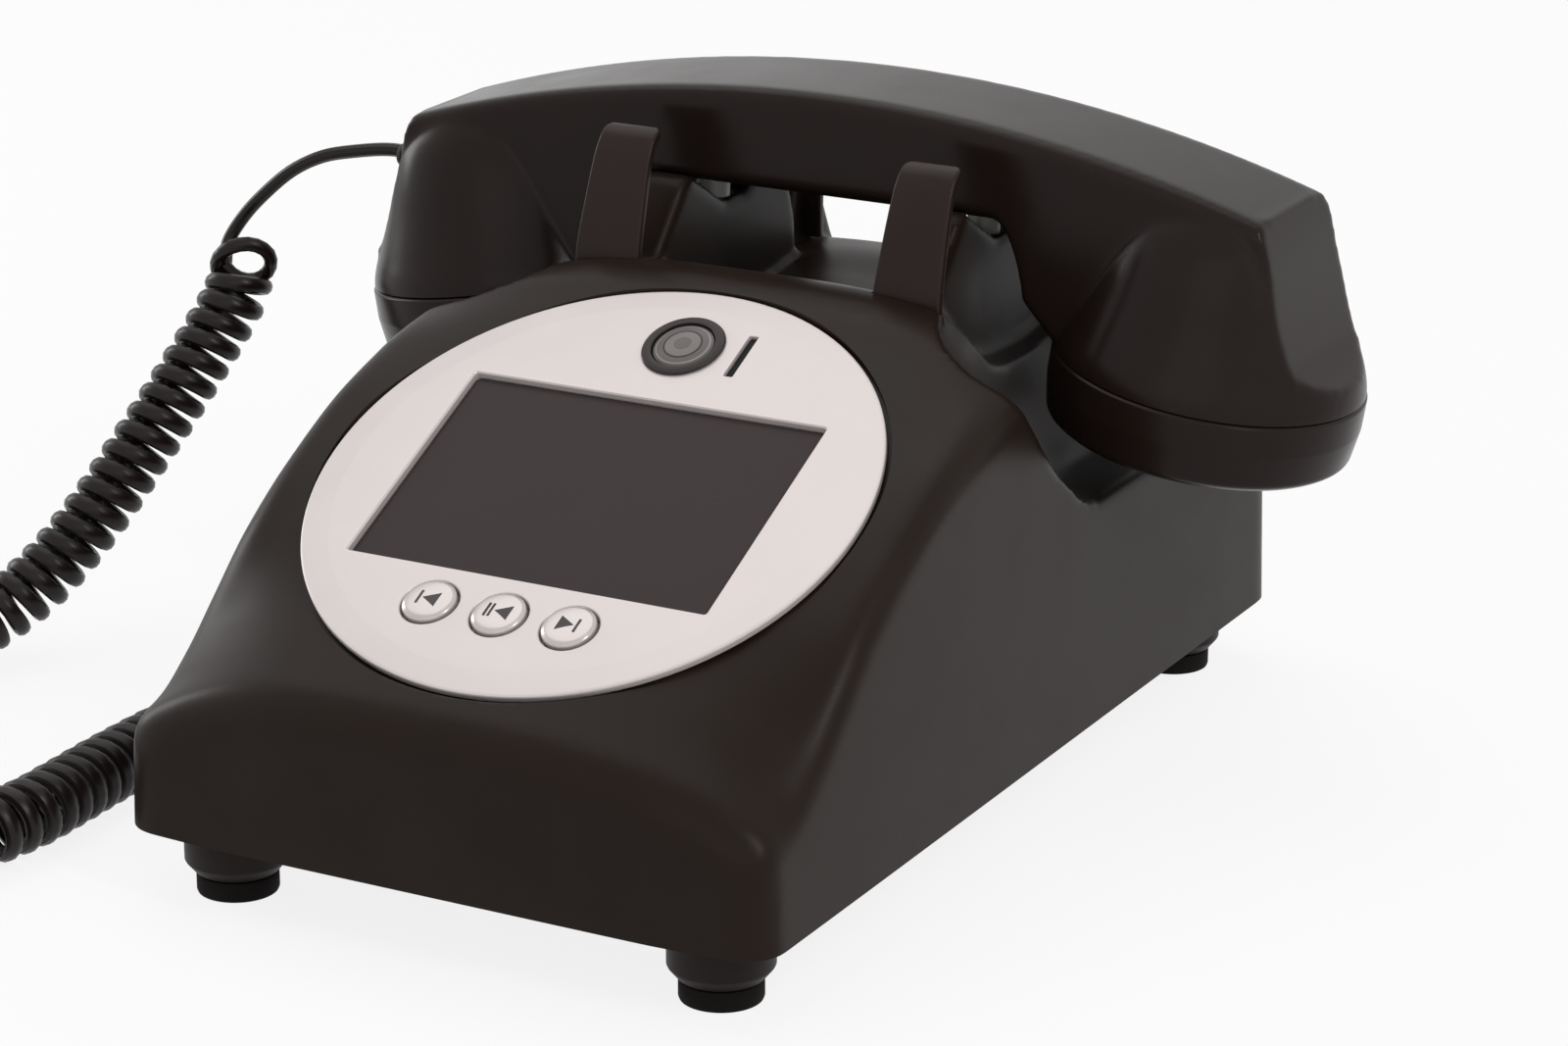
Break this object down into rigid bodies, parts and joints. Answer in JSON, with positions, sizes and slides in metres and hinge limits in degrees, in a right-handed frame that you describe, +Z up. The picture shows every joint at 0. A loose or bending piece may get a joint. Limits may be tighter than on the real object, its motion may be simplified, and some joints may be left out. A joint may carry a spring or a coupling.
{
  "type": "audio guest book telephone",
  "caption": "Desk telephone with a sloped body, a round silver face with screen, camera and buttons, a lift-off handset in a cradle and a curly cord.",
  "frame": {"origin": "on the table, under the middle of the box of body and handset", "axes": "+Z up, -Y the way the face looks, +X to the right of someone who faces the phone"},
  "size_m": [0.3035, 0.2637, 0.136],
  "materials": {
    "body_plastic": "dark warm near-black ABS, satin",
    "ear_plastic": "dark warm near-black ABS, satin, a little glossier",
    "base_plastic": "dark ABS, fine texture",
    "foot_rubber": "matt black",
    "screw_steel": "zinc plated",
    "face_silver": "pale silver paint, satin",
    "window_acrylic": "dark tinted, glossy",
    "screen_module": "moulded black",
    "bezel_plastic": "dark grey, glossy",
    "lens_glass": "smoked lens, polished",
    "button_plastic": "pale silver, domed",
    "key_silicone": "translucent grey",
    "circuit_board": "green solder resist",
    "battery_wrap": "blue shrink wrap",
    "ballast_steel": "raw plate",
    "speaker_cone": "black frame and cone",
    "hook_plastic": "off-white acetal",
    "usb_steel": "nickel plated",
    "seal_rubber": "matt black",
    "plug_plastic": "clear",
    "cord_rubber": "glossy near-black jacket"
  },
  "bodies": {
    "base": {"housing_shell": "body_plastic", "cradle_ear_front_right": "ear_plastic", "cradle_ear_front_left": "ear_plastic", "cradle_ear_rear_right": "ear_plastic", "cradle_ear_rear_left": "ear_plastic", "base_plate": "base_plastic", "foot_front_left": "foot_rubber", "foot_front_right": "foot_rubber", "foot_rear_left": "foot_rubber", "foot_rear_right": "foot_rubber", "case_screw_front_left": "screw_steel", "case_screw_front_right": "screw_steel", "case_screw_rear_left": "screw_steel", "case_screw_rear_right": "screw_steel", "board_screw_1": "screw_steel", "board_screw_2": "screw_steel", "board_screw_3": "screw_steel", "board_screw_4": "screw_steel", "hook_pin": "screw_steel", "hook_spring": "screw_steel", "face_plate": "face_silver", "display_window": "window_acrylic", "slot_window": "window_acrylic", "display_panel": "screen_module", "camera_module": "screen_module", "hook_switch": "screen_module", "power_switch_body": "screen_module", "handset_jack": "screen_module", "camera_bezel": "bezel_plastic", "camera_lens": "lens_glass", "key_mat": "key_silicone", "front_board": "circuit_board", "main_board": "circuit_board", "battery_pack": "battery_wrap", "ballast_plate": "ballast_steel", "speaker": "speaker_cone", "usb_socket": "usb_steel", "cord_plug": "plug_plastic", "cord_curl": "cord_rubber", "cord_lead_lower": "cord_rubber"},
    "handset": {"handset_shell": "body_plastic", "earpiece_cap": "body_plastic", "mouthpiece_cap": "body_plastic", "earpiece_receiver": "speaker_cone", "microphone_capsule": "screw_steel", "microphone_holder": "seal_rubber", "handset_grommet": "seal_rubber", "cord_lead_upper": "cord_rubber"},
    "button_previous": {"button_previous": "button_plastic"},
    "button_play_pause": {"button_play_pause": "button_plastic"},
    "button_next": {"button_next": "button_plastic"},
    "hook_plunger_left": {"hook_plunger_left": "hook_plastic"},
    "hook_plunger_right": {"hook_plunger_right": "hook_plastic"},
    "hook_lever": {"hook_lever": "hook_plastic"},
    "power_knob": {"power_switch_knob": "hook_plastic"}
  },
  "joints": [
    {"name": "handset_lift", "type": "slide", "parent": "base", "child": "handset", "axis": [0, 0, 1], "range_m": [0, 0.12]},
    {"name": "button_previous_press", "type": "slide", "parent": "base", "child": "button_previous", "axis": [0, 0.4337, -0.9011], "range_m": [0, 0.001], "stiffness_N_per_m": 400, "springref_m": -0.003},
    {"name": "button_play_pause_press", "type": "slide", "parent": "base", "child": "button_play_pause", "axis": [0, 0.4337, -0.9011], "range_m": [0, 0.001], "stiffness_N_per_m": 400, "springref_m": -0.003},
    {"name": "button_next_press", "type": "slide", "parent": "base", "child": "button_next", "axis": [0, 0.4337, -0.9011], "range_m": [0, 0.001], "stiffness_N_per_m": 400, "springref_m": -0.003},
    {"name": "hook_plunger_left_rise", "type": "slide", "parent": "base", "child": "hook_plunger_left", "axis": [0, 0, 1], "range_m": [0, 0.004]},
    {"name": "hook_plunger_right_rise", "type": "slide", "parent": "base", "child": "hook_plunger_right", "axis": [0, 0, 1], "range_m": [0, 0.004]},
    {"name": "hook_lever_swing", "type": "hinge", "parent": "base", "child": "hook_lever", "pos_m": [0, 0.071, 0.0658], "axis": [-1, 0, 0], "range_deg": [0, 10.35], "deforming": ["hook_spring"]},
    {"name": "power_switch_slide", "type": "slide", "parent": "base", "child": "power_knob", "axis": [1, 0, 0], "range_m": [0, 0.004]}
  ],
  "couplings": [
    {"joint": "hook_plunger_left_rise", "follows": "handset_lift", "ratio": 0.033333},
    {"joint": "hook_plunger_right_rise", "follows": "handset_lift", "ratio": 0.033333},
    {"joint": "hook_lever_swing", "follows": "handset_lift", "rad_per_m": 1.5}
  ]
}
